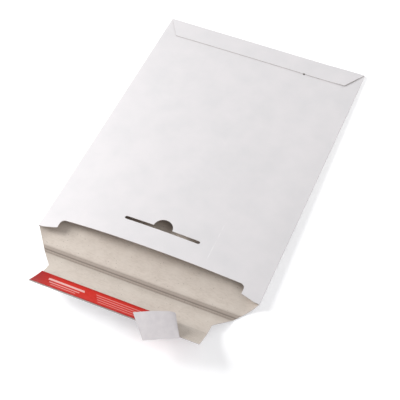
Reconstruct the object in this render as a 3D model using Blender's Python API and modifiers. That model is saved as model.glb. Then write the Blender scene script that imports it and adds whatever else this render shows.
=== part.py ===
# A flat board mailer, lying open with its back panel down: a pocket folded from one sheet, a closure
# flap that turns on a scored crease, its adhesive strip, and the release liner half peeled off.
# Metres, +Z up. The origin is the middle of the back panel's underside. +Y points to the glued far
# end, -Y to the mouth.
import math

import bmesh
import bpy

# The board
BOARD = 0.0007  # thickness of the solid board
FOLD_GAP = 0.0003  # left between the plies inside a fold
GLUE_GAP = 0.00015  # left between two plies that are glued together

# The pocket
PANEL_WIDTH = 0.246
PANEL_LENGTH = 0.341
MOUTH_SIDE_RISE = 0.0067  # height of the side folds' middle at the mouth
MOUTH_ARCH = 0.0088  # how far the front panel's middle stands above its sides at the mouth
ARCH_POWER = 2.2  # across the panel: 2 is a parabola, more is flatter in the middle
ARCH_FADE = 1.6  # along the panel: how late the arch sinks towards the far end
CURL_POWER = 2.5  # how sharply the back panel's sides turn up to the side folds

# The front panel's mouth edge and its slot
NOTCH_WIDTH = 0.205
NOTCH_DEPTH = 0.014  # from the mouth line to the notch's edge
NOTCH_CORNER = 0.005
SHOULDER_SLANT = 0.003  # how far the shoulders lean back where they meet the notch
SHOULDER_FLAT = 0.006  # straight stretch of the shoulder beside the fold
SLOT_LENGTH = 0.0842
SLOT_WIDTH = 0.0038
SLOT_FROM_MOUTH = 0.0403  # to the slot's centre line
THUMB_RADIUS = 0.0104

# The glued flaps
GLUE_FLAP_WIDTH = 0.018
GLUE_FLAP_SLANT = 0.008  # how much each end of the side glue flap is cut back
SEAM_RAMP = 0.032  # width over which the front panel climbs on to the side glue flap
FAR_FLAP_DEPTH = 0.0263
FAR_FLAP_END_WIDTH = 0.2126
FAR_FLAP_LIFT = 0.0006  # its right corner has sprung up a little
LIFT_FROM_X = 0.088
LIFT_REACH = 0.020
NICK_X = 0.0569  # a small round nick in the far flap's free edge
NICK_RADIUS = 0.0011
FRONT_EDGE_INSET = 0.0002  # the front panel's long edge stops this far short of the side fold

# The lip in front of the mouth and the closure flap
LIP_DEPTH = 0.0227  # from the mouth line to the crease that the flap turns on
LIP_ROLLS = ((0.0176, 0.0016), (0.0212, 0.0009))  # pressed rolls: distance from the mouth, half width
ROLL_HEIGHT = 0.00045
HINGE_GAP = 0.0003
FLAP_DEPTH = 0.060
NECK_DEPTH = 0.0195  # from the hinge crease to the narrow place in the flap's outline
NECK_WIDTH = 0.1782
FLAP_END_WIDTH = 0.1812
# The flap's slope in degrees at these distances from the hinge crease
FLAP_SLOPES = ((0, 26), (0.012, 26), (0.020, 15), (0.028, 21.5), (0.036, 34.5), (0.048, 36.5), (0.060, 43))

# The adhesive strip and the release liner
STRIP_WIDTH = 0.0270
STRIP_END_INSET = 0.0015
STRIP_THICKNESS = 0.00015
LINER_WIDTH = 0.0283
LINER_END_INSET = 0.0005
LINER_THICKNESS = 0.00015
LAYER_GAP = 0.0002  # left between the flap, the strip and the liner
UPPER_PEEL_X = 0.030  # where each edge of the liner leaves the flap
LOWER_PEEL_X = 0.060
# The loose end's two edges, measured from the middle of the hinge crease
UPPER_LOOP = (
    (0.0400, -0.0291, 0.0142),
    (0.0508, -0.0297, 0.0205),
    (0.0570, -0.0306, 0.0290),
    (0.0522, -0.0332, 0.0340),
    (0.0370, -0.0396, 0.0345),
    (0.0196, -0.0466, 0.0315),
)
LOWER_LOOP = (
    (0.0680, -0.0520, 0.0302),
    (0.0717, -0.0540, 0.0312),
    (0.0690, -0.0562, 0.0316),
    (0.0560, -0.0622, 0.0306),
    (0.0400, -0.0690, 0.0283),
)

# Grid steps
ROWS = 16
FOLD_STEPS = 6
ARC_STEPS = 6
WELD = 2e-6

half_width = PANEL_WIDTH / 2
fold_radius = BOARD + FOLD_GAP / 2
fold_x = half_width - fold_radius  # the panels end here and the side folds begin
far_radius = (3 * BOARD + FOLD_GAP + GLUE_GAP) / 2
mouth_y = -PANEL_LENGTH / 2
far_y = PANEL_LENGTH / 2 - far_radius
hinge_y = mouth_y - LIP_DEPTH
ply_step = BOARD + GLUE_GAP
seam_x = fold_x - GLUE_FLAP_WIDTH  # inner edge of the side glue flap
stuck_share = 0.45  # share of the liner's grid that lies on the flap


def mix(low, high, share):
    return low + (high - low) * share


def smooth(share):
    share = min(1.0, max(0.0, share))
    return share * share * (3 - 2 * share)


def spread(share, stops):
    """The value at a share of the way through (share, value) stops, straight from stop to stop."""
    for (low_share, low), (high_share, high) in zip(stops, stops[1:]):
        if share <= high_share:
            return mix(low, high, (share - low_share) / (high_share - low_share))
    return stops[-1][1]


def taper_half_width(from_mouth):
    """Half the sheet's width on the lip and on the flap down to its neck."""
    return mix(fold_x, NECK_WIDTH / 2, from_mouth / (LIP_DEPTH + NECK_DEPTH))


curl_x = taper_half_width(LIP_DEPTH)  # the back panel is flat between -curl_x and curl_x


def depth_share(y):
    return min(1.0, max(0.0, (y - mouth_y) / (far_y - mouth_y)))


def side_rise(y):
    """Height of the middle of the side folds."""
    return mix(MOUTH_SIDE_RISE, fold_radius, depth_share(y))


def back_under(x, y):
    """Underside of the back panel and of the lip in front of it."""
    curl = max(0.0, (abs(x) - curl_x) / (fold_x - curl_x)) ** CURL_POWER
    fade = 1 - max(0.0, (mouth_y - y) / LIP_DEPTH)
    return (side_rise(y) - fold_radius) * curl * max(0.0, fade)


def front_top(x, y):
    """Outer face of the front panel. It climbs one ply over the side glue flap."""
    across = 1 - min(1.0, abs(x) / fold_x) ** ARCH_POWER
    arch = MOUTH_ARCH * (1 - depth_share(y) ** ARCH_FADE) * across
    seam = ply_step * smooth((x - seam_x + SEAM_RAMP) / SEAM_RAMP)
    return side_rise(y) + fold_radius + arch + seam


def far_flap_top(x, y):
    return front_top(x, y) + ply_step


def panel_x(across):
    return spread(across, ((0, -fold_x), (0.25, -curl_x), (0.75, curl_x), (1, fold_x)))


def panel_y(along):
    return mix(mouth_y, far_y, along)


def back_panel(across, along):
    x, y = panel_x(across), panel_y(along)
    return x, y, back_under(x, y)


def side_fold(side):
    def place(across, along):
        y = panel_y(along)
        turn = math.pi * across
        x = side * (fold_x + fold_radius * math.sin(turn))
        return x, y, side_rise(y) - fold_radius * math.cos(turn)

    return place


def front_panel(across, along):
    stops = ((0, -fold_x), (0.7, seam_x - SEAM_RAMP), (0.9, seam_x), (1, half_width - FRONT_EDGE_INSET))
    x, y = spread(across, stops), panel_y(along)
    return x, y, front_top(x, y)


def side_glue_flap(across, along):
    x = fold_x - GLUE_FLAP_WIDTH * across
    cut_back = GLUE_FLAP_SLANT * across
    y = mix(mouth_y + cut_back, far_y - cut_back, along)
    return x, y, front_top(x, y) - ply_step


def far_fold(across, along):
    x = panel_x(across)
    turn = math.pi * along
    height = far_flap_top(x, far_y)
    return x, far_y + far_radius * math.sin(turn), height / 2 * (1 - math.cos(turn))


def far_flap(across, along):
    x = panel_x(across) * mix(1, FAR_FLAP_END_WIDTH / 2 / fold_x, along)
    y = far_y - (FAR_FLAP_DEPTH - far_radius) * along
    lift = FAR_FLAP_LIFT * smooth((x - LIFT_FROM_X) / LIFT_REACH) * smooth(along * 1.6)
    return x, y, far_flap_top(x, y) + lift


def lip_lines():
    """Distances from the mouth of the rows in the lip's grid, five of them on each roll."""
    lines = [0, LIP_DEPTH / 3]
    for middle, half in LIP_ROLLS:
        lines += [middle + half * share for share in (-1, -0.5, 0, 0.5, 1)]
    return lines + [LIP_DEPTH - HINGE_GAP / 2]


def lip(across, along):
    lines = lip_lines()
    from_mouth = lines[round(along * (len(lines) - 1))]
    x = panel_x(across) * taper_half_width(from_mouth) / fold_x
    y = mouth_y - from_mouth
    roll = max(smooth(1 - abs(from_mouth - middle) / half) for middle, half in LIP_ROLLS)
    return x, y, back_under(x, y) + ROLL_HEIGHT * roll


def flap_slope(distance):
    return math.radians(spread(distance, FLAP_SLOPES))


def on_flap(distance, above):
    """(y, z) from the hinge axis, a distance along the flap's inner face and above that face."""
    steps = 60
    stride = distance / steps
    slopes = [flap_slope((step + 0.5) * stride) for step in range(steps)]
    y = -stride * sum(math.cos(slope) for slope in slopes)
    z = stride * sum(math.sin(slope) for slope in slopes)
    slope = flap_slope(distance)
    return y + above * math.sin(slope), z + above * math.cos(slope)


def closure_flap(across, along):
    distance = spread(along, ((0, HINGE_GAP / 2), (0.4, NECK_DEPTH), (1, FLAP_DEPTH)))
    if distance <= NECK_DEPTH:
        side = taper_half_width(LIP_DEPTH + distance)
    else:
        past_neck = (distance - NECK_DEPTH) / (FLAP_DEPTH - NECK_DEPTH)
        side = mix(NECK_WIDTH / 2, FLAP_END_WIDTH / 2, past_neck)
    return (side * (2 * across - 1), *on_flap(distance, -BOARD))


def adhesive_strip(across, along):
    side = FLAP_END_WIDTH / 2 - STRIP_END_INSET
    distance = mix(FLAP_DEPTH - STRIP_WIDTH, FLAP_DEPTH - LINER_END_INSET, along)
    return (side * (2 * across - 1), *on_flap(distance, LAYER_GAP + STRIP_THICKNESS))


def smooth_route(points, share):
    """A smooth curve through the points, read at a share of the way by count of points."""
    place = share * (len(points) - 1)
    index = min(int(place), len(points) - 2)
    t = place - index
    before, start, end = points[max(index - 1, 0)], points[index], points[index + 1]
    after = points[min(index + 2, len(points) - 1)]
    weights = (
        (-t + 2 * t * t - t**3) / 2,
        (2 - 5 * t * t + 3 * t**3) / 2,
        (t + 4 * t * t - 3 * t**3) / 2,
        (t**3 - t * t) / 2,
    )
    corners = (before, start, end, after)
    return [sum(w * point[axis] for w, point in zip(weights, corners)) for axis in range(3)]


def on_strip(distance):
    return on_flap(distance, 2 * LAYER_GAP + STRIP_THICKNESS + LINER_THICKNESS)


def release_liner(across, along):
    """Stuck down as far as the peel line, and then round the loose loop between its two edges."""
    edges = (FLAP_DEPTH - LINER_WIDTH, FLAP_DEPTH)
    y, z = on_strip(mix(*edges, across))
    peel_x = mix(UPPER_PEEL_X, LOWER_PEEL_X, across)
    if along <= stuck_share:
        return mix(LINER_END_INSET - FLAP_END_WIDTH / 2, peel_x, along / stuck_share), y, z
    loose = (along - stuck_share) / (1 - stuck_share)
    upper_start, lower_start = on_strip(edges[0]), on_strip(edges[1])
    upper = smooth_route([(UPPER_PEEL_X, *upper_start), *UPPER_LOOP], loose)
    lower = smooth_route([(LOWER_PEEL_X, *lower_start), *LOWER_LOOP], loose)
    # The flap's own hollow fades out of the liner just past the peel line.
    hollow = 1 - smooth(6 * loose)
    hollow_y = hollow * (y - mix(upper_start[0], lower_start[0], across))
    hollow_z = hollow * (z - mix(upper_start[1], lower_start[1], across))
    x, y, z = (mix(low, high, across) for low, high in zip(upper, lower))
    return x, y + hollow_y, z + hollow_z


def add_patch(bm, columns, rows, place, flip=False):
    """Adds a grid whose points go where place(across, along) says. flip turns its faces round."""
    grid = bmesh.ops.create_grid(bm, x_segments=columns, y_segments=rows, size=0.5)
    for vert in grid["verts"]:
        vert.co = place(vert.co.x + 0.5, vert.co.y + 0.5)
    if flip:
        faces = {face for vert in grid["verts"] for face in vert.link_faces}
        bmesh.ops.reverse_faces(bm, faces=list(faces))


def make_material(name, colour, roughness):
    material = bpy.data.materials.new(name)
    material.use_nodes = True
    shader = material.node_tree.nodes["Principled BSDF"]
    shader.inputs["Base Color"].default_value = (*colour, 1)
    shader.inputs["Roughness"].default_value = roughness
    shader.inputs["Metallic"].default_value = 0
    return material


def make_sheet(name, bm, thickness, material, collection):
    """Turns an open surface, whose faces point outwards, into a sheet of that thickness."""
    bmesh.ops.remove_doubles(bm, verts=bm.verts, dist=WELD)
    mesh = bpy.data.meshes.new(name)
    bm.to_mesh(mesh)
    bm.free()
    mesh.shade_smooth()
    mesh.set_sharp_from_angle(angle=math.radians(35))
    mesh.materials.append(material)
    sheet = bpy.data.objects.new(name, mesh)
    collection.objects.link(sheet)
    wall = sheet.modifiers.new("Board", "SOLIDIFY")
    wall.thickness = thickness
    wall.offset = -1
    wall.use_even_offset = True
    return sheet


def rounded_outline(corners):
    """Points round a closed outline of (x, y, radius) corners, each corner an arc."""
    points = []
    for index, (x, y, radius) in enumerate(corners):
        if radius == 0:
            points.append((x, y))
            continue
        arms = []
        for near_x, near_y, _ in (corners[index - 1], corners[(index + 1) % len(corners)]):
            length = math.hypot(near_x - x, near_y - y)
            arms.append(((near_x - x) / length, (near_y - y) / length))
        (ax, ay), (bx, by) = arms
        half_angle = math.acos(max(-1, min(1, ax * bx + ay * by))) / 2
        reach = radius / math.tan(half_angle)
        centre_reach = radius / math.sin(half_angle)
        middle = math.hypot(ax + bx, ay + by)
        centre_x = x + (ax + bx) / middle * centre_reach
        centre_y = y + (ay + by) / middle * centre_reach
        start = math.atan2(y + ay * reach - centre_y, x + ax * reach - centre_x)
        end = math.atan2(y + by * reach - centre_y, x + bx * reach - centre_x)
        sweep = (end - start + math.pi) % (2 * math.pi) - math.pi
        for step in range(ARC_STEPS + 1):
            angle = start + sweep * step / ARC_STEPS
            points.append((centre_x + radius * math.cos(angle), centre_y + radius * math.sin(angle)))
    return points


def notch_outline():
    outside = mouth_y - SHOULDER_FLAT
    shoulder_x = half_width - SHOULDER_FLAT
    side = NOTCH_WIDTH / 2
    right = [
        (shoulder_x, outside, 0),
        (shoulder_x, mouth_y, 0),
        (side, mouth_y + SHOULDER_SLANT, 0),
        (side, mouth_y + NOTCH_DEPTH, NOTCH_CORNER),
    ]
    left = [(-x, y, radius) for x, y, radius in reversed(right)]
    return rounded_outline(right + left)


def slot_outline():
    """A slot with round ends and a half-round thumb hole on its far side."""
    radius = SLOT_WIDTH / 2
    centre_y = mouth_y + SLOT_FROM_MOUTH
    end_x = SLOT_LENGTH / 2 - radius
    points = []
    for centre_x, start in ((end_x, -90), (-end_x, 90)):
        for step in range(ARC_STEPS + 1):
            angle = math.radians(start + 180 * step / ARC_STEPS)
            points.append((centre_x + radius * math.cos(angle), centre_y + radius * math.sin(angle)))
        if centre_x > 0:
            for step in range(2 * ARC_STEPS + 1):
                angle = math.pi * step / (2 * ARC_STEPS)
                moon_y = centre_y + radius + THUMB_RADIUS * math.sin(angle)
                points.append((THUMB_RADIUS * math.cos(angle), moon_y))
    return points


def nick_outline(edge_y):
    turns = [2 * math.pi * step / (2 * ARC_STEPS) for step in range(2 * ARC_STEPS)]
    return [(NICK_X + NICK_RADIUS * math.cos(turn), edge_y + NICK_RADIUS * math.sin(turn)) for turn in turns]


def cut_out(sheet, name, outline, floor, ceiling, collection):
    """Cuts an upright prism out of the sheet."""
    curve = bpy.data.curves.new(name, "CURVE")
    curve.dimensions = "2D"
    curve.fill_mode = "BOTH"
    curve.extrude = (ceiling - floor) / 2
    spline = curve.splines.new("POLY")
    spline.points.add(len(outline) - 1)
    for point, (x, y) in zip(spline.points, outline):
        point.co = (x, y, 0, 1)
    spline.use_cyclic_u = True
    guide = bpy.data.objects.new(name + "_outline", curve)
    guide.location.z = (ceiling + floor) / 2
    collection.objects.link(guide)
    bpy.context.view_layer.update()
    graph = bpy.context.evaluated_depsgraph_get()
    mesh = bpy.data.meshes.new_from_object(guide.evaluated_get(graph))
    bm = bmesh.new()
    bm.from_mesh(mesh)
    bmesh.ops.remove_doubles(bm, verts=bm.verts, dist=WELD)
    bmesh.ops.recalc_face_normals(bm, faces=bm.faces)
    bm.to_mesh(mesh)
    bm.free()
    cutter = bpy.data.objects.new(name, mesh)
    cutter.matrix_world = guide.matrix_world
    collection.objects.link(cutter)
    bpy.data.objects.remove(guide)
    cutter.hide_render = True
    cutter.display_type = "WIRE"
    cut = sheet.modifiers.new(name, "BOOLEAN")
    cut.operation = "DIFFERENCE"
    cut.object = cutter
    cut.solver = "EXACT"


def make_pocket(material, parts, cutters):
    bm = bmesh.new()
    add_patch(bm, 20, ROWS, back_panel, flip=True)
    add_patch(bm, FOLD_STEPS, ROWS, side_fold(-1))
    add_patch(bm, FOLD_STEPS, ROWS, side_fold(1), flip=True)
    add_patch(bm, 3, ROWS, side_glue_flap, flip=True)
    add_patch(bm, 20, ROWS, front_panel)
    add_patch(bm, 20, FOLD_STEPS, far_fold, flip=True)
    add_patch(bm, 20, 3, far_flap, flip=True)
    add_patch(bm, 20, len(lip_lines()) - 1, lip)
    pocket = make_sheet("pocket", bm, BOARD, material, parts)
    low_x = half_width - SHOULDER_FLAT
    inside = (back_under(low_x, mouth_y) + front_top(-low_x, mouth_y)) / 2
    above = front_top(0, mouth_y) + MOUTH_ARCH
    edge_y = far_y - FAR_FLAP_DEPTH + far_radius
    under_edge = front_top(NICK_X, edge_y) + GLUE_GAP / 2
    cut_out(pocket, "mouth_notch", notch_outline(), inside, above, cutters)
    cut_out(pocket, "thumb_slot", slot_outline(), inside, above, cutters)
    cut_out(pocket, "edge_nick", nick_outline(edge_y), under_edge, above, cutters)
    return pocket


def make_closure_flap(material, parts):
    bm = bmesh.new()
    add_patch(bm, 8, 10, closure_flap, flip=False)
    flap = make_sheet("closure_flap", bm, BOARD, material, parts)
    flap.location = (0, hinge_y, BOARD)
    return flap


def make_adhesive_strip(material, parts, flap):
    bm = bmesh.new()
    add_patch(bm, 8, 6, adhesive_strip)
    strip = make_sheet("adhesive_strip", bm, STRIP_THICKNESS, material, parts)
    strip.parent = flap
    return strip


def make_release_liner(material, parts, flap):
    bm = bmesh.new()
    add_patch(bm, 6, 40, release_liner)
    liner = make_sheet("release_liner", bm, LINER_THICKNESS, material, parts)
    liner.parent = flap
    return liner


def main():
    for leftover in list(bpy.data.objects):
        bpy.data.objects.remove(leftover)
    parts = bpy.data.collections.new("board_mailer")
    cutters = bpy.data.collections.new("mailer_cutters")
    for collection in (parts, cutters):
        bpy.context.scene.collection.children.link(collection)
    white_board = make_material("coated_white_board", (0.86, 0.86, 0.86), 0.55)
    grey_board = make_material("uncoated_grey_board", (0.60, 0.57, 0.52), 0.85)
    adhesive = make_material("clear_adhesive", (0.66, 0.62, 0.55), 0.2)
    red_paper = make_material("red_release_paper", (0.66, 0.06, 0.04), 0.35)
    make_pocket(white_board, parts, cutters)
    flap = make_closure_flap(grey_board, parts)
    make_adhesive_strip(adhesive, parts, flap)
    make_release_liner(red_paper, parts, flap)
    bpy.context.view_layer.update()


main()
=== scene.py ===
# An open board mailer on a pale table: pocket, closure flap, clear glue film and half-peeled red liner.
# Everything is in metres. +Y runs from the mouth to the glued far end, +Z is up.
import math

import bmesh
import bpy
from mathutils import Matrix, Vector, noise


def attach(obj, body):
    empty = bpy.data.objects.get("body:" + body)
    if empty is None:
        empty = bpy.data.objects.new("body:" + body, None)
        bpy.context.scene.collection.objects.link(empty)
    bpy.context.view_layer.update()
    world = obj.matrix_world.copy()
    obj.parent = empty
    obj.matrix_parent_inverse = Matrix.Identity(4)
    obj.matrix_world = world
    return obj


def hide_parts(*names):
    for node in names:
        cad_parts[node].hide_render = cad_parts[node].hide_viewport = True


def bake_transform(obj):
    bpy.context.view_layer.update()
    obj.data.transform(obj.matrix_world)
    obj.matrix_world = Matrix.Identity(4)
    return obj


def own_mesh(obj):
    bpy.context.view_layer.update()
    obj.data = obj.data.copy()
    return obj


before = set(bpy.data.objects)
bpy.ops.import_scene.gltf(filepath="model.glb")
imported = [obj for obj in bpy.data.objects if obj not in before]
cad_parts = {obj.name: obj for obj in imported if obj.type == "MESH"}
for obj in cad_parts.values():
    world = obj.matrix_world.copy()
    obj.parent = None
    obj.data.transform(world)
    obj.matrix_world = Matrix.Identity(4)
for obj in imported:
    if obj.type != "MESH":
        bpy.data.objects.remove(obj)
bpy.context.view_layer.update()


# Small helpers

def mix(low, high, share):
    return low + (high - low) * share


def smooth(share):
    share = min(1.0, max(0.0, share))
    return share * share * (3 - 2 * share)


def ridge(distance, reach):
    return smooth(1 - abs(distance) / reach)


def readStops(value, stops):  # straight lines through (value, result) pairs
    for (lowValue, low), (highValue, high) in zip(stops, stops[1:]):
        if value <= highValue:
            return mix(low, high, (value - lowValue) / (highValue - lowValue))
    return stops[-1][1]


def hexColour(text):
    channels = [int(text[index:index + 2], 16) / 255 for index in (1, 3, 5)]
    linear = [c / 12.92 if c <= 0.04045 else ((c + 0.055) / 1.055) ** 2.4 for c in channels]
    return (*linear, 1.0)


def addNode(tree, kind, links=None, **settings):
    # The links give each input, by its name or number, a value or another node's socket.
    node = tree.nodes.new(kind)
    for name, value in settings.items():
        setattr(node, name, value)
    for name, value in (links or {}).items():
        if isinstance(value, bpy.types.NodeSocket):
            tree.links.new(value, node.inputs[name])
        else:
            node.inputs[name].default_value = value
    return node


def newMaterial(name, fixed):
    material = bpy.data.materials.new(name)
    material.use_nodes = True
    shader = material.node_tree.nodes["Principled BSDF"]
    for socket, value in fixed.items():
        shader.inputs[socket].default_value = value
    return material, material.node_tree, shader


# Materials

whiteBoardLook = {
    "colour": "#d6d3d4",
    "colourDip": "#d1cfd0",
    "roughness": 0.52,
    "cloudSize": 0.022,
    "fibreSize": 0.0011,
    "markColour": "#f4f3f4",
    "markX": 0.0562,
    "markHalf": 0.0005,
    "markFrom": -0.154,
    "markTo": -0.099,
    "markStrength": 0.3,
    "markGapScale": 90,
    # A small dark spot painted at the nick in the far flap's edge:
    "nickSpotColour": "#4a4644",
    "nickSpotCentre": (0.0569, 0.1440, 0.0034),
    "nickSpotRadius": 0.0009,
    "nickSpotFade": 1.8,
}


def makeWhiteBoard(look):
    # Solid board with a blade-coated china-clay face: a flat, faintly blue-grey white with a soft silky
    # highlight and slow clouding from the fibre mat below. The real fibre relief is near 0.1 mm, too
    # fine for the frame, so it is drawn at about 1 mm.
    material, tree, shader = newMaterial("clayCoatedSolidBoard", {"IOR": 1.5, "Specular IOR Level": 0.35})
    where = addNode(tree, "ShaderNodeTexCoord").outputs["Object"]
    cloud = addNode(tree, "ShaderNodeTexNoise", {
        "Vector": where, "Scale": 1 / look["cloudSize"], "Detail": 3,
    })
    grain = addNode(tree, "ShaderNodeTexNoise", {
        "Vector": where, "Scale": 1 / look["fibreSize"], "Detail": 4,
    })
    tone = addNode(tree, "ShaderNodeMapRange", {
        "Value": cloud.outputs["Fac"], "From Min": 0.35, "From Max": 0.7,
    })
    colour = addNode(tree, "ShaderNodeMix", {
        "Factor": tone.outputs["Result"], "A": hexColour(look["colour"]),
        "B": hexColour(look["colourDip"]),
    }, data_type="RGBA")
    # A faint, broken pale rub mark runs up the panel from the mouth, near the glued side.
    axes = addNode(tree, "ShaderNodeSeparateXYZ", {"Vector": where})
    nearLine = addNode(tree, "ShaderNodeMath", {
        0: axes.outputs["X"], 1: look["markX"], 2: look["markHalf"],
    }, operation="COMPARE")
    middle = (look["markFrom"] + look["markTo"]) / 2
    reach = (look["markTo"] - look["markFrom"]) / 2
    alongLine = addNode(tree, "ShaderNodeMath", {
        0: axes.outputs["Y"], 1: middle, 2: reach,
    }, operation="COMPARE")
    mark = addNode(tree, "ShaderNodeMath", {
        0: nearLine.outputs[0], 1: alongLine.outputs[0],
    }, operation="MULTIPLY")
    gaps = addNode(tree, "ShaderNodeTexNoise", {
        "Vector": where, "Scale": look["markGapScale"], "Detail": 1,
    })
    broken = addNode(tree, "ShaderNodeMapRange", {
        "Value": gaps.outputs["Fac"], "From Min": 0.42, "From Max": 0.62, "To Max": look["markStrength"],
    })
    faint = addNode(tree, "ShaderNodeMath", {
        0: mark.outputs[0], 1: broken.outputs[0],
    }, operation="MULTIPLY")
    marked = addNode(tree, "ShaderNodeMix", {
        "Factor": faint.outputs[0], "A": colour.outputs["Result"], "B": hexColour(look["markColour"]),
    }, data_type="RGBA")
    # A small dark spot is painted at the nick in the far flap's edge, fading out round it.
    fromSpot = addNode(tree, "ShaderNodeVectorMath", {
        0: where, 1: look["nickSpotCentre"],
    }, operation="DISTANCE")
    nickSpotShare = addNode(tree, "ShaderNodeMapRange", {
        "Value": fromSpot.outputs["Value"],
        "From Min": look["nickSpotRadius"], "From Max": look["nickSpotRadius"] * look["nickSpotFade"],
        "To Min": 1.0, "To Max": 0.0,
    })
    withNickSpot = addNode(tree, "ShaderNodeMix", {
        "Factor": nickSpotShare.outputs["Result"], "A": marked.outputs["Result"],
        "B": hexColour(look["nickSpotColour"]),
    }, data_type="RGBA")
    tree.links.new(withNickSpot.outputs["Result"], shader.inputs["Base Color"])
    rough = addNode(tree, "ShaderNodeMapRange", {
        "Value": grain.outputs["Fac"],
        "To Min": look["roughness"] - 0.05, "To Max": look["roughness"] + 0.08,
    })
    tree.links.new(rough.outputs["Result"], shader.inputs["Roughness"])
    relief = addNode(tree, "ShaderNodeBump", {
        "Height": grain.outputs["Fac"], "Strength": 0.12, "Distance": 0.0001,
    })
    slow = addNode(tree, "ShaderNodeBump", {
        "Height": cloud.outputs["Fac"], "Strength": 0.18,
        "Distance": 0.0004, "Normal": relief.outputs["Normal"],
    })
    tree.links.new(slow.outputs["Normal"], shader.inputs["Normal"])
    return material


greyBoardLook = {
    "colour": "#c6bcb2",
    "colourDark": "#bab0a5",
    "colourPale": "#ccc3b9",
    # Painted shade bands across the lip: (middle y, half width, soft edge, strength, colour)
    "paintedShadeBands": (
        (-0.1918, 0.0032, 0.0075, 0.25, "#8f8277"),
        (-0.1900, 0.0032, 0.0020, 0.55, "#857970"),
        (-0.1904, 0.0003, 0.0010, 0.50, "#4f453d"),
        (-0.1935, 0.0002, 0.0012, 0.25, "#4f453d"),
    ),
    "speck": "#6f655b",
    "roughness": 0.88,
    "fibreLength": 0.0035,
    "fibreWidth": 0.0012,
    "blotchScale": 55,
    "speckSize": 0.0045,
}


def makeGreyBoard(look):
    # Uncoated recycled greyboard, pressed from waste paper: warm grey with fibres lying along the sheet,
    # slow blotches and a few dark flecks. Fully matt. Real fibres are 2 mm long and hair-thin, so they
    # are drawn as streaks of about 3.5 by 1.2 mm.
    material, tree, shader = newMaterial("uncoatedGreyboard", {"IOR": 1.47, "Specular IOR Level": 0.2})
    where = addNode(tree, "ShaderNodeTexCoord").outputs["Object"]
    stretched = addNode(tree, "ShaderNodeMapping", {
        "Vector": where,
        "Scale": (1 / look["fibreLength"], 1 / look["fibreWidth"], 1 / look["fibreWidth"]),
    })
    fibre = addNode(tree, "ShaderNodeTexNoise", {
        "Vector": stretched.outputs["Vector"], "Scale": 1.0, "Detail": 5,
    })
    blotch = addNode(tree, "ShaderNodeTexNoise", {
        "Vector": where, "Scale": look["blotchScale"], "Detail": 3,
    })
    fleck = addNode(tree, "ShaderNodeTexVoronoi", {"Vector": where, "Scale": 1 / look["speckSize"]})
    darker = addNode(tree, "ShaderNodeMapRange", {
        "Value": fibre.outputs["Fac"], "From Min": 0.42, "From Max": 0.75,
    })
    paler = addNode(tree, "ShaderNodeMapRange", {
        "Value": blotch.outputs["Fac"], "From Min": 0.4, "From Max": 0.75,
    })
    first = addNode(tree, "ShaderNodeMix", {
        "Factor": darker.outputs["Result"], "A": hexColour(look["colour"]),
        "B": hexColour(look["colourDark"]),
    }, data_type="RGBA")
    second = addNode(tree, "ShaderNodeMix", {
        "Factor": paler.outputs["Result"], "A": first.outputs["Result"],
        "B": hexColour(look["colourPale"]),
    }, data_type="RGBA")
    speck = addNode(tree, "ShaderNodeMapRange", {
        "Value": fleck.outputs["Distance"], "From Min": 0.05, "From Max": 0.14,
        "To Min": 0.55, "To Max": 0.0,
    })
    third = addNode(tree, "ShaderNodeMix", {
        "Factor": speck.outputs["Result"], "A": second.outputs["Result"],
        "B": hexColour(look["speck"]),
    }, data_type="RGBA")
    # Painted shade across the lip: a browner band over the pressed rolls, darkest in the score between them
    # and at the hinge, fading out onto the flap's bend. A little of the browning is the board pressed by the
    # creasing die.
    axes = addNode(tree, "ShaderNodeSeparateXYZ", {"Vector": where})
    tone = third.outputs["Result"]
    for middle, half, edge, strength, colour in look["paintedShadeBands"]:
        offset = addNode(tree, "ShaderNodeMath", {
            0: axes.outputs["Y"], 1: middle,
        }, operation="SUBTRACT")
        distance = addNode(tree, "ShaderNodeMath", {0: offset.outputs[0]}, operation="ABSOLUTE")
        share = addNode(tree, "ShaderNodeMapRange", {
            "Value": distance.outputs[0], "From Min": half, "From Max": half + edge,
            "To Min": strength, "To Max": 0.0,
        })
        tone = addNode(tree, "ShaderNodeMix", {
            "Factor": share.outputs["Result"], "A": tone, "B": hexColour(colour),
        }, data_type="RGBA").outputs["Result"]
    tree.links.new(tone, shader.inputs["Base Color"])
    rough = addNode(tree, "ShaderNodeMapRange", {
        "Value": fibre.outputs["Fac"],
        "To Min": look["roughness"] - 0.06, "To Max": look["roughness"] + 0.08,
    })
    tree.links.new(rough.outputs["Result"], shader.inputs["Roughness"])
    relief = addNode(tree, "ShaderNodeBump", {
        "Height": fibre.outputs["Fac"], "Strength": 0.3, "Distance": 0.0002,
    })
    tree.links.new(relief.outputs["Normal"], shader.inputs["Normal"])
    return material


boardEdgeLook = {"colour": "#b4aeab", "colourPale": "#cdcac8", "roughness": 0.95, "tearSize": 0.0016}


def makeBoardEdge(look):
    # Die-cut edge of the same board: the grey core laid open, slightly furred, with the white coating
    # dragged over it here and there by the blade.
    material, tree, shader = newMaterial("dieCutBoardEdge", {"IOR": 1.47, "Specular IOR Level": 0.15})
    where = addNode(tree, "ShaderNodeTexCoord").outputs["Object"]
    tear = addNode(tree, "ShaderNodeTexNoise", {
        "Vector": where, "Scale": 1 / look["tearSize"], "Detail": 3,
    })
    drag = addNode(tree, "ShaderNodeMapRange", {
        "Value": tear.outputs["Fac"], "From Min": 0.45, "From Max": 0.7,
    })
    colour = addNode(tree, "ShaderNodeMix", {
        "Factor": drag.outputs["Result"], "A": hexColour(look["colour"]),
        "B": hexColour(look["colourPale"]),
    }, data_type="RGBA")
    tree.links.new(colour.outputs["Result"], shader.inputs["Base Color"])
    rough = addNode(tree, "ShaderNodeMapRange", {
        "Value": tear.outputs["Fac"], "To Min": look["roughness"] - 0.08, "To Max": look["roughness"],
    })
    tree.links.new(rough.outputs["Result"], shader.inputs["Roughness"])
    relief = addNode(tree, "ShaderNodeBump", {
        "Height": tear.outputs["Fac"], "Strength": 0.5, "Distance": 0.0002,
    })
    tree.links.new(relief.outputs["Normal"], shader.inputs["Normal"])
    return material


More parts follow.
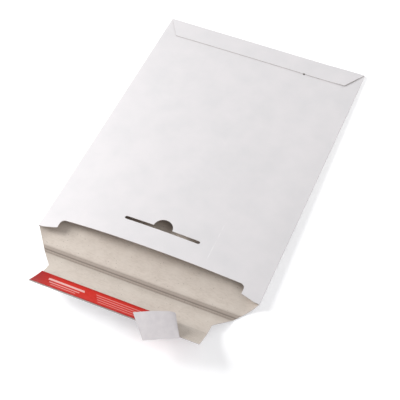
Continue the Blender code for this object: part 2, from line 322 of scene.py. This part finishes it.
redLinerLook = {
    "colour": "#c92a1f",
    "colourWorn": "#c0261c",
    # Painted shade on the red, along both long edges and at the left end:
    "colourShaded": "#8c191b",
    "shadedRim": 0.13,  # share of the sheet's width
    "shadedRimStrength": 0.7,
    "shadedEnd": (-0.0905, -0.064),  # from x, to x
    "shadedEndStrength": 0.8,
    "ink": "#e9c9c4",
    "roughness": 0.42,
    "wearScale": 260,
    # Plain bars of pale ink, in shares of the sheet: (along from, to, across from, to, strength)
    "bars": (
        (0.10, 0.40, 0.30, 0.44, 0.75),
        (0.12, 0.36, 0.56, 0.62, 0.6),
        (0.14, 0.33, 0.72, 0.77, 0.5),
        (0.50, 0.96, 0.24, 0.29, 0.42),
        (0.50, 0.90, 0.40, 0.45, 0.42),
        (0.50, 0.94, 0.56, 0.61, 0.42),
        (0.50, 0.84, 0.72, 0.77, 0.36),
    ),
}


def makeRedLiner(look):
    # Supercalendered release paper, flexo-printed in one flat red: smooth and slightly glossy under its
    # silicone. The ink is thinner where it was rubbed. Plain pale bars stand where a print would be.
    material, tree, shader = newMaterial("printedReleasePaper", {"IOR": 1.45, "Specular IOR Level": 0.18})
    where = addNode(tree, "ShaderNodeTexCoord").outputs["Object"]
    sheet = addNode(tree, "ShaderNodeUVMap", uv_map="sheet")
    place = addNode(tree, "ShaderNodeSeparateXYZ", {"Vector": sheet.outputs["UV"]})
    wear = addNode(tree, "ShaderNodeTexNoise", {
        "Vector": where, "Scale": look["wearScale"], "Detail": 4,
    })
    thin = addNode(tree, "ShaderNodeMapRange", {
        "Value": wear.outputs["Fac"], "From Min": 0.4, "From Max": 0.7,
    })
    colour = addNode(tree, "ShaderNodeMix", {
        "Factor": thin.outputs["Result"], "A": hexColour(look["colour"]),
        "B": hexColour(look["colourWorn"]),
    }, data_type="RGBA").outputs["Result"]
    # Painted shade: the red is darker along both long edges and towards the left end.
    fromEdge = addNode(tree, "ShaderNodeMath", {
        0: place.outputs["X"], 1: 0.5,
    }, operation="PINGPONG")
    rim = addNode(tree, "ShaderNodeMapRange", {
        "Value": fromEdge.outputs[0], "From Max": look["shadedRim"],
        "To Min": look["shadedRimStrength"], "To Max": 0.0,
    })
    axes = addNode(tree, "ShaderNodeSeparateXYZ", {"Vector": where})
    endFrom, endTo = look["shadedEnd"]
    end = addNode(tree, "ShaderNodeMapRange", {
        "Value": axes.outputs["X"], "From Min": endFrom, "From Max": endTo,
        "To Min": look["shadedEndStrength"], "To Max": 0.0,
    })
    redShade = addNode(tree, "ShaderNodeMath", {
        0: rim.outputs["Result"], 1: end.outputs["Result"],
    }, operation="MAXIMUM")
    colour = addNode(tree, "ShaderNodeMix", {
        "Factor": redShade.outputs[0], "A": colour, "B": hexColour(look["colourShaded"]),
    }, data_type="RGBA").outputs["Result"]
    for alongFrom, alongTo, acrossFrom, acrossTo, strength in look["bars"]:
        along = addNode(tree, "ShaderNodeMath", {
            0: place.outputs["Y"], 1: (alongFrom + alongTo) / 2, 2: (alongTo - alongFrom) / 2,
        }, operation="COMPARE")
        across = addNode(tree, "ShaderNodeMath", {
            0: place.outputs["X"], 1: (acrossFrom + acrossTo) / 2, 2: (acrossTo - acrossFrom) / 2,
        }, operation="COMPARE")
        both = addNode(tree, "ShaderNodeMath", {
            0: along.outputs[0], 1: across.outputs[0],
        }, operation="MULTIPLY")
        bar = addNode(tree, "ShaderNodeMath", {
            0: both.outputs[0], 1: strength,
        }, operation="MULTIPLY")
        colour = addNode(tree, "ShaderNodeMix", {
            "Factor": bar.outputs[0], "A": colour, "B": hexColour(look["ink"]),
        }, data_type="RGBA").outputs["Result"]
    tree.links.new(colour, shader.inputs["Base Color"])
    rough = addNode(tree, "ShaderNodeMapRange", {
        "Value": wear.outputs["Fac"],
        "To Min": look["roughness"] - 0.05, "To Max": look["roughness"] + 0.12,
    })
    tree.links.new(rough.outputs["Result"], shader.inputs["Roughness"])
    relief = addNode(tree, "ShaderNodeBump", {
        "Height": wear.outputs["Fac"], "Strength": 0.15, "Distance": 0.0001,
    })
    tree.links.new(relief.outputs["Normal"], shader.inputs["Normal"])
    return material


whiteLinerLook = {"colour": "#c9c4c5", "colourDip": "#c1bcbe", "roughness": 0.4, "hazeScale": 150}


def makeWhiteLiner(look):
    # The siliconised underside of the same paper: cool white, with a low satin shine and the faint
    # blotchy haze that the glue leaves.
    material, tree, shader = newMaterial("siliconisedReleasePaper", {"IOR": 1.42, "Specular IOR Level": 0.5})
    where = addNode(tree, "ShaderNodeTexCoord").outputs["Object"]
    haze = addNode(tree, "ShaderNodeTexNoise", {
        "Vector": where, "Scale": look["hazeScale"], "Detail": 3,
    })
    tone = addNode(tree, "ShaderNodeMapRange", {
        "Value": haze.outputs["Fac"], "From Min": 0.35, "From Max": 0.7,
    })
    colour = addNode(tree, "ShaderNodeMix", {
        "Factor": tone.outputs["Result"], "A": hexColour(look["colour"]),
        "B": hexColour(look["colourDip"]),
    }, data_type="RGBA")
    tree.links.new(colour.outputs["Result"], shader.inputs["Base Color"])
    rough = addNode(tree, "ShaderNodeMapRange", {
        "Value": haze.outputs["Fac"],
        "To Min": look["roughness"] - 0.06, "To Max": look["roughness"] + 0.15,
    })
    tree.links.new(rough.outputs["Result"], shader.inputs["Roughness"])
    relief = addNode(tree, "ShaderNodeBump", {
        "Height": haze.outputs["Fac"], "Strength": 0.25, "Distance": 0.0003,
    })
    tree.links.new(relief.outputs["Normal"], shader.inputs["Normal"])
    return material


glueLook = {
    "colour": "#d9d1c8",
    "colourSmear": "#cfc6bc",
    "alpha": 0.05,
    "roughness": 0.3,
    "smearSize": 0.009,
}


def makeGlueFilm(look):
    # Clear hot-melt pressure-sensitive glue, slot-coated and left open: hardly any colour over the
    # board, but a wet, uneven shine.
    material, tree, shader = newMaterial("clearHotMeltGlue", {"IOR": 1.48, "Alpha": look["alpha"]})
    where = addNode(tree, "ShaderNodeTexCoord").outputs["Object"]
    smear = addNode(tree, "ShaderNodeTexNoise", {
        "Vector": where, "Scale": 1 / look["smearSize"], "Detail": 4,
    })
    tone = addNode(tree, "ShaderNodeMapRange", {
        "Value": smear.outputs["Fac"], "From Min": 0.4, "From Max": 0.7,
    })
    colour = addNode(tree, "ShaderNodeMix", {
        "Factor": tone.outputs["Result"], "A": hexColour(look["colour"]),
        "B": hexColour(look["colourSmear"]),
    }, data_type="RGBA")
    tree.links.new(colour.outputs["Result"], shader.inputs["Base Color"])
    rough = addNode(tree, "ShaderNodeMapRange", {
        "Value": smear.outputs["Fac"], "To Min": look["roughness"], "To Max": look["roughness"] + 0.3,
    })
    tree.links.new(rough.outputs["Result"], shader.inputs["Roughness"])
    relief = addNode(tree, "ShaderNodeBump", {
        "Height": smear.outputs["Fac"], "Strength": 0.3, "Distance": 0.0003,
    })
    tree.links.new(relief.outputs["Normal"], shader.inputs["Normal"])
    return material


tableLook = {
    "colour": "#fbfbfb",
    "colourDip": "#f8f8f9",
    "roughness": 0.7,
    "glow": 0.12,
    "glowColour": "#ffffff",
    "unevenScale": 4,
}


def makeTable(look):
    # Matt opal acrylic top of a product-photo table, lit a little from below, so shadows stay pale.
    material, tree, shader = newMaterial("mattOpalAcrylic", {
        "IOR": 1.49, "Specular IOR Level": 0.2,
        "Emission Color": hexColour(look["glowColour"]), "Emission Strength": look["glow"],
    })
    where = addNode(tree, "ShaderNodeTexCoord").outputs["Object"]
    even = addNode(tree, "ShaderNodeTexNoise", {
        "Vector": where, "Scale": look["unevenScale"], "Detail": 2,
    })
    tone = addNode(tree, "ShaderNodeMapRange", {
        "Value": even.outputs["Fac"], "From Min": 0.3, "From Max": 0.7,
    })
    colour = addNode(tree, "ShaderNodeMix", {
        "Factor": tone.outputs["Result"], "A": hexColour(look["colour"]),
        "B": hexColour(look["colourDip"]),
    }, data_type="RGBA")
    tree.links.new(colour.outputs["Result"], shader.inputs["Base Color"])
    shader.inputs["Roughness"].default_value = look["roughness"]
    return material


whiteBoard = makeWhiteBoard(whiteBoardLook)
greyBoard = makeGreyBoard(greyBoardLook)
boardEdge = makeBoardEdge(boardEdgeLook)
redLiner = makeRedLiner(redLinerLook)
whiteLiner = makeWhiteLiner(whiteLinerLook)
glueFilm = makeGlueFilm(glueLook)
boardMaterials = (whiteBoard, greyBoard, boardEdge)
linerMaterials = (redLiner, whiteLiner, whiteLiner)
print("stage: materials made")


# Building sheets from grids

making = {"weldReach": 2e-6, "sharpDegrees": 32}


def addPatch(bm, columns, rows, place, turnOver=False):
    uvs = bm.loops.layers.uv.get("sheet") or bm.loops.layers.uv.new("sheet")
    grid = bmesh.ops.create_grid(bm, x_segments=columns, y_segments=rows, size=0.5, calc_uvs=True)
    faces = {face for vert in grid["verts"] for face in vert.link_faces}
    for face in faces:
        for loop in face.loops:
            loop[uvs].uv = (loop.vert.co.x + 0.5, loop.vert.co.y + 0.5)
    for vert in grid["verts"]:
        vert.co = place(vert.co.x + 0.5, vert.co.y + 0.5)
    if turnOver:
        bmesh.ops.reverse_faces(bm, faces=list(faces))


def sheetFromPatches(name, bm, thickness, materials, cutters=()):
    # The materials are those of the outside, the inside and the cut edge.
    bmesh.ops.remove_doubles(bm, verts=bm.verts, dist=making["weldReach"])
    mesh = bpy.data.meshes.new(name)
    bm.to_mesh(mesh)
    bm.free()
    for material in materials:
        mesh.materials.append(material)
    piece = bpy.data.objects.new(name, mesh)
    bpy.context.scene.collection.objects.link(piece)
    wall = piece.modifiers.new("board", "SOLIDIFY")
    wall.thickness = thickness
    wall.offset = -1
    wall.use_even_offset = True
    wall.material_offset = 1
    wall.material_offset_rim = 2
    for cutter in cutters:
        cut = piece.modifiers.new(cutter.name, "BOOLEAN")
        cut.operation = "DIFFERENCE"
        cut.object = cutter
        cut.solver = "EXACT"
        cut.material_mode = "TRANSFER"
    bpy.context.view_layer.update()
    graph = bpy.context.evaluated_depsgraph_get()
    finished = bpy.data.meshes.new_from_object(piece.evaluated_get(graph))
    piece.modifiers.clear()
    piece.data = finished
    finished.name = name
    finished.shade_smooth()
    finished.set_sharp_from_angle(angle=math.radians(making["sharpDegrees"]))
    return piece


def cutterFromOutline(name, outline, floor, ceiling, material):
    bm = bmesh.new()
    corners = [bm.verts.new((x, y, floor)) for x, y in outline]
    base = bm.faces.new(corners)
    raised = bmesh.ops.extrude_face_region(bm, geom=[base])
    top = [item for item in raised["geom"] if isinstance(item, bmesh.types.BMVert)]
    bmesh.ops.translate(bm, verts=top, vec=(0, 0, ceiling - floor))
    bmesh.ops.recalc_face_normals(bm, faces=bm.faces)
    mesh = bpy.data.meshes.new(name)
    bm.to_mesh(mesh)
    bm.free()
    mesh.materials.append(material)
    cutter = bpy.data.objects.new(name, mesh)
    bpy.context.scene.collection.objects.link(cutter)
    return cutter


def arcPoints(centreX, centreY, radius, fromDegrees, toDegrees, steps):
    angles = [math.radians(mix(fromDegrees, toDegrees, step / steps)) for step in range(steps + 1)]
    return [(centreX + radius * math.cos(angle), centreY + radius * math.sin(angle)) for angle in angles]


# The pocket: one folded sheet of board

sheet = {
    "board": 0.0007,
    "foldGap": 0.0003,
    "glueGap": 0.00015,
    "width": 0.246,
    "length": 0.341,
    "mouthSideRise": 0.0067,
    "mouthArch": 0.0088,
    "archPower": 2.2,
    "archFade": 1.6,
    "curlPower": 2.5,
    "waveHeight": 0.0003,
    "waveLength": 0.075,
    "waveStretch": 0.6,
    "waveSeed": 3.7,
    "waveCalmSide": 0.02,
    "waveCalmFar": 0.05,
    "notchWidth": 0.205,
    "notchDepth": 0.014,
    "notchCorner": 0.005,
    "shoulderSlant": 0.003,
    "notchOuterX": 0.117,
    "notchOverhang": 0.006,
    "cutterFloor": 0.004,
    "cutterTop": 0.030,
    "slotLength": 0.0842,
    "slotWidth": 0.0038,
    "slotFromMouth": 0.0403,
    "thumbRadius": 0.0104,
    "glueFlapWidth": 0.018,
    "glueFlapSlant": 0.008,
    "seamRamp": 0.032,
    "frontInset": 0.0002,
    "farFlapDepth": 0.0263,
    "farFlapEndWidth": 0.2126,
    "farFlapLift": 0.0006,
    "liftFromX": 0.088,
    "liftReach": 0.020,
    "liftRise": 1.6,
    "nickX": 0.0569,
    "nickRadius": 0.0011,
    "lipDepth": 0.0227,
    "neckDepth": 0.0195,
    "neckWidth": 0.1782,
    "creaseHalf": 0.001,
    "plainLip": 0.0148,
    "rolls": ((0.0176, 0.0016), (0.0212, 0.0009)),
    "rollHeight": 0.00045,
    "columns": 64,
    "rows": 84,
    "foldSteps": 10,
}
halfWidth = sheet["width"] / 2
foldRadius = sheet["board"] + sheet["foldGap"] / 2
foldX = halfWidth - foldRadius
farRadius = (3 * sheet["board"] + sheet["foldGap"] + sheet["glueGap"]) / 2
mouthY = -sheet["length"] / 2
farY = sheet["length"] / 2 - farRadius
hingeY = mouthY - sheet["lipDepth"]
plyStep = sheet["board"] + sheet["glueGap"]
seamX = foldX - sheet["glueFlapWidth"]


def taperHalfWidth(fromMouth):
    return mix(foldX, sheet["neckWidth"] / 2, fromMouth / (sheet["lipDepth"] + sheet["neckDepth"]))


curlX = taperHalfWidth(sheet["lipDepth"])


def depthShare(y):
    return min(1.0, max(0.0, (y - mouthY) / (farY - mouthY)))


def sideRise(y):
    return mix(sheet["mouthSideRise"], foldRadius, depthShare(y))


def backUnder(x, y):
    curl = max(0.0, (abs(x) - curlX) / (foldX - curlX)) ** sheet["curlPower"]
    fade = max(0.0, 1 - max(0.0, (mouthY - y) / sheet["lipDepth"]))
    return (sideRise(y) - foldRadius) * curl * fade


def panelWave(x, y):  # slow hand-made unevenness that dies out at the folds
    calmSide = min(1.0, (foldX - min(foldX, abs(x))) / sheet["waveCalmSide"])
    calmFar = min(1.0, max(0.0, farY - y) / sheet["waveCalmFar"])
    length = sheet["waveLength"]
    spot = Vector((x / length, y / length * sheet["waveStretch"], sheet["waveSeed"]))
    return sheet["waveHeight"] * noise.noise(spot) * (calmSide * calmFar)


def frontTop(x, y):
    across = 1 - min(1.0, abs(x) / foldX) ** sheet["archPower"]
    arch = sheet["mouthArch"] * (1 - depthShare(y) ** sheet["archFade"]) * across
    seam = plyStep * smooth((x - seamX + sheet["seamRamp"]) / sheet["seamRamp"])
    return sideRise(y) + foldRadius + arch + seam + panelWave(x, y)


def farFlapTop(x, y):
    return frontTop(x, y) + plyStep


def panelX(across):
    return readStops(across, ((0, -foldX), (0.25, -curlX), (0.75, curlX), (1, foldX)))


def backPanel(across, along):
    x, y = panelX(across), mix(mouthY, farY, along)
    return x, y, backUnder(x, y)


def sideFold(side):
    def place(across, along):
        y = mix(mouthY, farY, along)
        turn = math.pi * across
        return side * (foldX + foldRadius * math.sin(turn)), y, sideRise(y) - foldRadius * math.cos(turn)

    return place


def frontPanel(across, along):
    # The grid is closer over the ridge that the glue flap raises.
    edgeX = halfWidth - sheet["frontInset"]
    stops = ((0, -foldX), (0.72, seamX - sheet["seamRamp"]), (0.92, seamX), (1, edgeX))
    x, y = readStops(across, stops), mix(mouthY, farY, along)
    return x, y, frontTop(x, y)


def sideGlueFlap(across, along):
    x = foldX - sheet["glueFlapWidth"] * across
    cutBack = sheet["glueFlapSlant"] * across
    y = mix(mouthY + cutBack, farY - cutBack, along)
    return x, y, frontTop(x, y) - plyStep


def farFold(across, along):
    x = panelX(across)
    turn = math.pi * along
    return x, farY + farRadius * math.sin(turn), farFlapTop(x, farY) / 2 * (1 - math.cos(turn))


def farFlap(across, along):
    x = panelX(across) * mix(1, sheet["farFlapEndWidth"] / 2 / foldX, along)
    y = farY - (sheet["farFlapDepth"] - farRadius) * along
    # The right corner has sprung up a little.
    nearCorner = smooth((x - sheet["liftFromX"]) / sheet["liftReach"])
    lift = sheet["farFlapLift"] * nearCorner * smooth(along * sheet["liftRise"])
    return x, y, farFlapTop(x, y) + lift


def rollRise(fromMouth):  # two pressed rolls with a score between them
    return sheet["rollHeight"] * max(ridge(fromMouth - middle, half) for middle, half in sheet["rolls"])


def lip(across, along):
    # A quarter of the grid is enough for the plain part in front of the rolls.
    end = sheet["lipDepth"] - sheet["creaseHalf"]
    fromMouth = readStops(along, ((0, 0), (0.25, sheet["plainLip"]), (1, end)))
    x = panelX(across) * taperHalfWidth(fromMouth) / foldX
    y = mouthY - fromMouth
    return x, y, backUnder(x, y) + rollRise(fromMouth)


def notchOutline():
    side, corner = sheet["notchWidth"] / 2, sheet["notchCorner"]
    deep = mouthY + sheet["notchDepth"]
    outer = sheet["notchOuterX"]
    points = [(outer, mouthY - sheet["notchOverhang"]), (outer, mouthY)]
    points.append((side, mouthY + sheet["shoulderSlant"]))
    points += arcPoints(side - corner, deep - corner, corner, 0, 90, 10)
    points += [(-x, y) for x, y in reversed(points)]
    return points


def slotOutline():
    radius = sheet["slotWidth"] / 2
    centreY = mouthY + sheet["slotFromMouth"]
    endX = sheet["slotLength"] / 2 - radius
    points = arcPoints(endX, centreY, radius, -90, 90, 10)
    points += arcPoints(0, centreY + radius, sheet["thumbRadius"], 0, 180, 28)
    points += arcPoints(-endX, centreY, radius, 90, 270, 10)
    return points


def makePocket():
    low, high = sheet["cutterFloor"], sheet["cutterTop"]
    columns, rows, foldSteps = sheet["columns"], sheet["rows"], sheet["foldSteps"]
    notch = cutterFromOutline("notchCutter", notchOutline(), low, high, boardEdge)
    slot = cutterFromOutline("slotCutter", slotOutline(), low, high, boardEdge)
    nickY = farY - sheet["farFlapDepth"] + farRadius
    nickFloor = frontTop(sheet["nickX"], nickY) + sheet["glueGap"] / 3
    nickRound = arcPoints(sheet["nickX"], nickY, sheet["nickRadius"], 0, 337.5, 15)
    nick = cutterFromOutline("nickCutter", nickRound, nickFloor, high, boardEdge)
    cutters = (notch, slot, nick)
    bm = bmesh.new()
    addPatch(bm, columns, rows, backPanel, turnOver=True)
    addPatch(bm, foldSteps, rows, sideFold(-1))
    addPatch(bm, foldSteps, rows, sideFold(1), turnOver=True)
    addPatch(bm, 5, rows, sideGlueFlap, turnOver=True)
    addPatch(bm, 70, rows, frontPanel)
    addPatch(bm, columns, foldSteps, farFold, turnOver=True)
    addPatch(bm, columns, 10, farFlap, turnOver=True)
    addPatch(bm, columns, 44, lip)
    pocket = sheetFromPatches("foldedPocket", bm, sheet["board"], boardMaterials, cutters)
    for cutter in cutters:
        bpy.data.objects.remove(cutter)
    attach(pocket, "pocket")
    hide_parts("pocket")
    return pocket


makePocket()
print("stage: pocket folded")


# The closure flap, with the crease that it turns on

flap = {
    "depth": 0.060,
    "endWidth": 0.1812,
    "slopes": ((0, 26), (0.012, 26), (0.020, 15), (0.028, 21.5), (0.036, 34.5), (0.048, 36.5), (0.060, 43)),
    "neckShare": 0.34,
    "creaseEnds": 0.3,
    "creaseThickness": 0.00066,
}


def flapSlope(distance):
    return math.radians(readStops(distance, flap["slopes"]))


def onFlap(distance, above):
    steps = 60
    stride = distance / steps
    slopes = [flapSlope((step + 0.5) * stride) for step in range(steps)]
    slope = flapSlope(distance)
    y = above * math.sin(slope) - stride * sum(math.cos(angle) for angle in slopes)
    z = above * math.cos(slope) + stride * sum(math.sin(angle) for angle in slopes)
    return hingeY + y, sheet["board"] + z


def flapHalfWidth(distance):
    if distance <= sheet["neckDepth"]:
        return taperHalfWidth(sheet["lipDepth"] + distance)
    pastNeck = (distance - sheet["neckDepth"]) / (flap["depth"] - sheet["neckDepth"])
    return mix(sheet["neckWidth"] / 2, flap["endWidth"] / 2, pastNeck)


def closureFlap(across, along):
    stops = ((0, sheet["creaseHalf"]), (flap["neckShare"], sheet["neckDepth"]), (1, flap["depth"]))
    distance = readStops(along, stops)
    return (flapHalfWidth(distance) * (2 * across - 1), *onFlap(distance, -sheet["board"]))


def hingeCrease(across, along):  # from the lip, round the crease, and up on to the flap
    half = sheet["creaseHalf"]
    ends = flap["creaseEnds"]
    if along <= ends:
        fromHinge = mix(half, 0, along / ends)
        fromMouth = sheet["lipDepth"] - fromHinge
        return taperHalfWidth(fromMouth) * (2 * across - 1), hingeY + fromHinge, rollRise(fromMouth)
    if along >= 1 - ends:
        distance = mix(0, half, (along - 1 + ends) / ends)
        return (flapHalfWidth(distance) * (2 * across - 1), *onFlap(distance, -sheet["board"]))
    turn = flapSlope(0) * (along - ends) / (1 - 2 * ends)
    y = hingeY - sheet["board"] * math.sin(turn)
    return curlX * (2 * across - 1), y, sheet["board"] * (1 - math.cos(turn))


def makeClosureFlap():
    bm = bmesh.new()
    addPatch(bm, 60, 50, closureFlap)
    piece = sheetFromPatches("closureFlapBoard", bm, sheet["board"], boardMaterials)
    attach(piece, "closure_flap")
    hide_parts("closure_flap")
    bm = bmesh.new()
    addPatch(bm, 60, 20, hingeCrease)
    crease = sheetFromPatches("flapCrease", bm, flap["creaseThickness"], boardMaterials)
    half, middle = sheet["creaseHalf"], sheet["board"] / 2
    start, end = (0, hingeY + half, middle), (0, hingeY - half, middle)
    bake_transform(crease)
    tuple(start)
    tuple(end)


makeClosureFlap()
print("stage: closure flap and its crease made")


# The glue film and the release liner

liner = {
    "width": 0.0283,
    "thickness": 0.00015,
    "endInset": 0.0005,
    "glueWidth": 0.0270,
    "glueThickness": 0.00015,
    "glueEndInset": 0.0015,
    "layerGap": 0.0002,
    "hollowFade": 6,
    "squashSlope": 36,
    "squashAt": 0.046,
    "squashKeep": 0.06,
    "upperPeelX": 0.030,
    "lowerPeelX": 0.060,
    "upperLoop": (
        (0.0400, -0.0291, 0.0142),
        (0.0508, -0.0297, 0.0205),
        (0.0570, -0.0306, 0.0290),
        (0.0522, -0.0332, 0.0340),
        (0.0370, -0.0396, 0.0345),
        (0.0196, -0.0466, 0.0315),
    ),
    "lowerLoop": (
        (0.0680, -0.0520, 0.0302),
        (0.0717, -0.0540, 0.0312),
        (0.0690, -0.0562, 0.0316),
        (0.0560, -0.0622, 0.0306),
        (0.0400, -0.0690, 0.0283),
    ),
}


def glueStrip(across, along):
    side = flap["endWidth"] / 2 - liner["glueEndInset"]
    distance = mix(flap["depth"] - liner["glueWidth"], flap["depth"] - liner["endInset"], along)
    return (side * (2 * across - 1), *onFlap(distance, liner["layerGap"] + liner["glueThickness"]))


def onGlue(distance):
    return onFlap(distance, 2 * liner["layerGap"] + liner["glueThickness"] + liner["thickness"])


def smoothRoute(points, share):  # a smooth curve through the points
    place = share * (len(points) - 1)
    index = min(int(place), len(points) - 2)
    t = place - index
    before, after = max(index - 1, 0), min(index + 2, len(points) - 1)
    corners = (points[before], points[index], points[index + 1], points[after])
    weights = (
        (-t + 2 * t * t - t**3) / 2,
        (2 - 5 * t * t + 3 * t**3) / 2,
        (t + 4 * t * t - 3 * t**3) / 2,
        (t**3 - t * t) / 2,
    )
    return [sum(weight * corner[axis] for weight, corner in zip(weights, corners)) for axis in range(3)]


def stuckLiner(across, along):
    distance = mix(flap["depth"] - liner["width"], flap["depth"], across)
    peelX = mix(liner["upperPeelX"], liner["lowerPeelX"], across)
    return (mix(liner["endInset"] - flap["endWidth"] / 2, peelX, along), *onGlue(distance))


def looseLiner(across, along):
    edges = (flap["depth"] - liner["width"], flap["depth"])
    y, z = onGlue(mix(*edges, across))
    upperStart, lowerStart = onGlue(edges[0]), onGlue(edges[1])
    routes = []
    for peelX, start, loop in (
        (liner["upperPeelX"], upperStart, liner["upperLoop"]),
        (liner["lowerPeelX"], lowerStart, liner["lowerLoop"]),
    ):
        points = [(x, hingeY + back, sheet["board"] + up) for x, back, up in loop]
        routes.append(smoothRoute([(peelX, *start), *points], along))
    # The flap's own hollow fades out of the paper past the peel line.
    hollow = 1 - smooth(liner["hollowFade"] * along)
    x, flatY, flatZ = (mix(low, high, across) for low, high in zip(*routes))
    flatY += hollow * (y - mix(upperStart[0], lowerStart[0], across))
    flatZ += hollow * (z - mix(upperStart[1], lowerStart[1], across))
    return x, flatY, flatZ


def makeLiner():
    bm = bmesh.new()
    addPatch(bm, 40, 20, glueStrip)
    film = sheetFromPatches("glueFilm", bm, liner["glueThickness"], (glueFilm, glueFilm, glueFilm))
    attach(film, "closure_flap")
    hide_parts("adhesive_strip")
    bm = bmesh.new()
    addPatch(bm, 16, 60, stuckLiner)
    stuck = sheetFromPatches("linerStuckDown", bm, liner["thickness"], linerMaterials)
    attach(stuck, "closure_flap")
    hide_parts("release_liner")
    bm = bmesh.new()
    addPatch(bm, 24, 90, looseLiner)
    loose = sheetFromPatches("linerLooseEnd", bm, liner["thickness"], linerMaterials)
    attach(loose, "closure_flap")
    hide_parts("release_liner")
    y, z = onFlap(liner["squashAt"], liner["layerGap"])
    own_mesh(loose)


makeLiner()
print("stage: glue film and liner made")


# Table, light and camera

studio = {
    "tableHalf": 4.0,
    "tableDrop": 0.0002,
    "worldColour": "#fdfdff",
    "worldStrength": 0.53,
    "lightTarget": (0, -0.05, 0),
    "keyPlace": (-0.80, -0.20, 0.56),
    "keySize": 0.5,
    "keyPower": 8.6,
    "skyTowards": (0.75, -0.45, 0.70),
    "skyAngle": 44,
    "skyPower": 0.75,
    "farPlace": (0.45, 0.90, 0.60),
    "farSize": 0.9,
    "farPower": 3.3,
    "cameraAzimuth": 23.137,
    "cameraElevation": 53.177,
    "cameraDistance": 1.1174,
    "cameraTarget": (0.016406, -0.069863, 0.0),
    "focalPixels": 1048.54,
    "framePixels": 400,
    "sensorWidth": 36,
    "clipStart": 0.01,
}


def areaLight(name, place, size, power):
    data = bpy.data.lights.new(name, "AREA")
    data.size = size
    data.energy = power
    light = bpy.data.objects.new(name, data)
    light.location = place
    towards = Vector(studio["lightTarget"]) - Vector(place)
    light.rotation_euler = towards.to_track_quat("-Z", "Y").to_euler()
    bpy.context.scene.collection.objects.link(light)


def makeStudio():
    bm = bmesh.new()
    bmesh.ops.create_grid(bm, x_segments=1, y_segments=1, size=studio["tableHalf"])
    mesh = bpy.data.meshes.new("tableTop")
    bm.to_mesh(mesh)
    bm.free()
    mesh.materials.append(makeTable(tableLook))
    mesh.transform(Matrix.Translation((0, 0, -studio["tableDrop"])))
    table = bpy.data.objects.new("tableTop", mesh)
    bpy.context.scene.collection.objects.link(table)
    world = bpy.data.worlds.new("paleStudio")
    world.use_nodes = True
    room = world.node_tree.nodes["Background"]
    room.inputs["Color"].default_value = hexColour(studio["worldColour"])
    room.inputs["Strength"].default_value = studio["worldStrength"]
    bpy.context.scene.world = world
    areaLight("softboxFromLeft", studio["keyPlace"], studio["keySize"], studio["keyPower"])
    sky = bpy.data.lights.new("paleSkylight", "SUN")
    sky.energy = studio["skyPower"]
    sky.angle = math.radians(studio["skyAngle"])
    skylight = bpy.data.objects.new("paleSkylight", sky)
    skylight.rotation_euler = Vector(studio["skyTowards"]).to_track_quat("Z", "Y").to_euler()
    bpy.context.scene.collection.objects.link(skylight)
    areaLight("softboxFromFarRight", studio["farPlace"], studio["farSize"], studio["farPower"])
    bpy.context.scene.view_settings.view_transform = "Standard"
    azimuth = math.radians(studio["cameraAzimuth"])
    elevation = math.radians(studio["cameraElevation"])
    level = math.cos(elevation)
    backwards = Vector((math.sin(azimuth) * level, -math.cos(azimuth) * level, math.sin(elevation)))
    data = bpy.data.cameras.new("photoCamera")
    data.sensor_width = studio["sensorWidth"]
    data.lens = studio["focalPixels"] / studio["framePixels"] * data.sensor_width
    data.clip_start = studio["clipStart"]
    camera = bpy.data.objects.new("photoCamera", data)
    camera.location = Vector(studio["cameraTarget"]) + backwards * studio["cameraDistance"]
    camera.rotation_euler = (-backwards).to_track_quat("-Z", "Y").to_euler()
    bpy.context.scene.collection.objects.link(camera)
    bpy.context.scene.camera = camera


makeStudio()
print("stage: table, light and camera set")
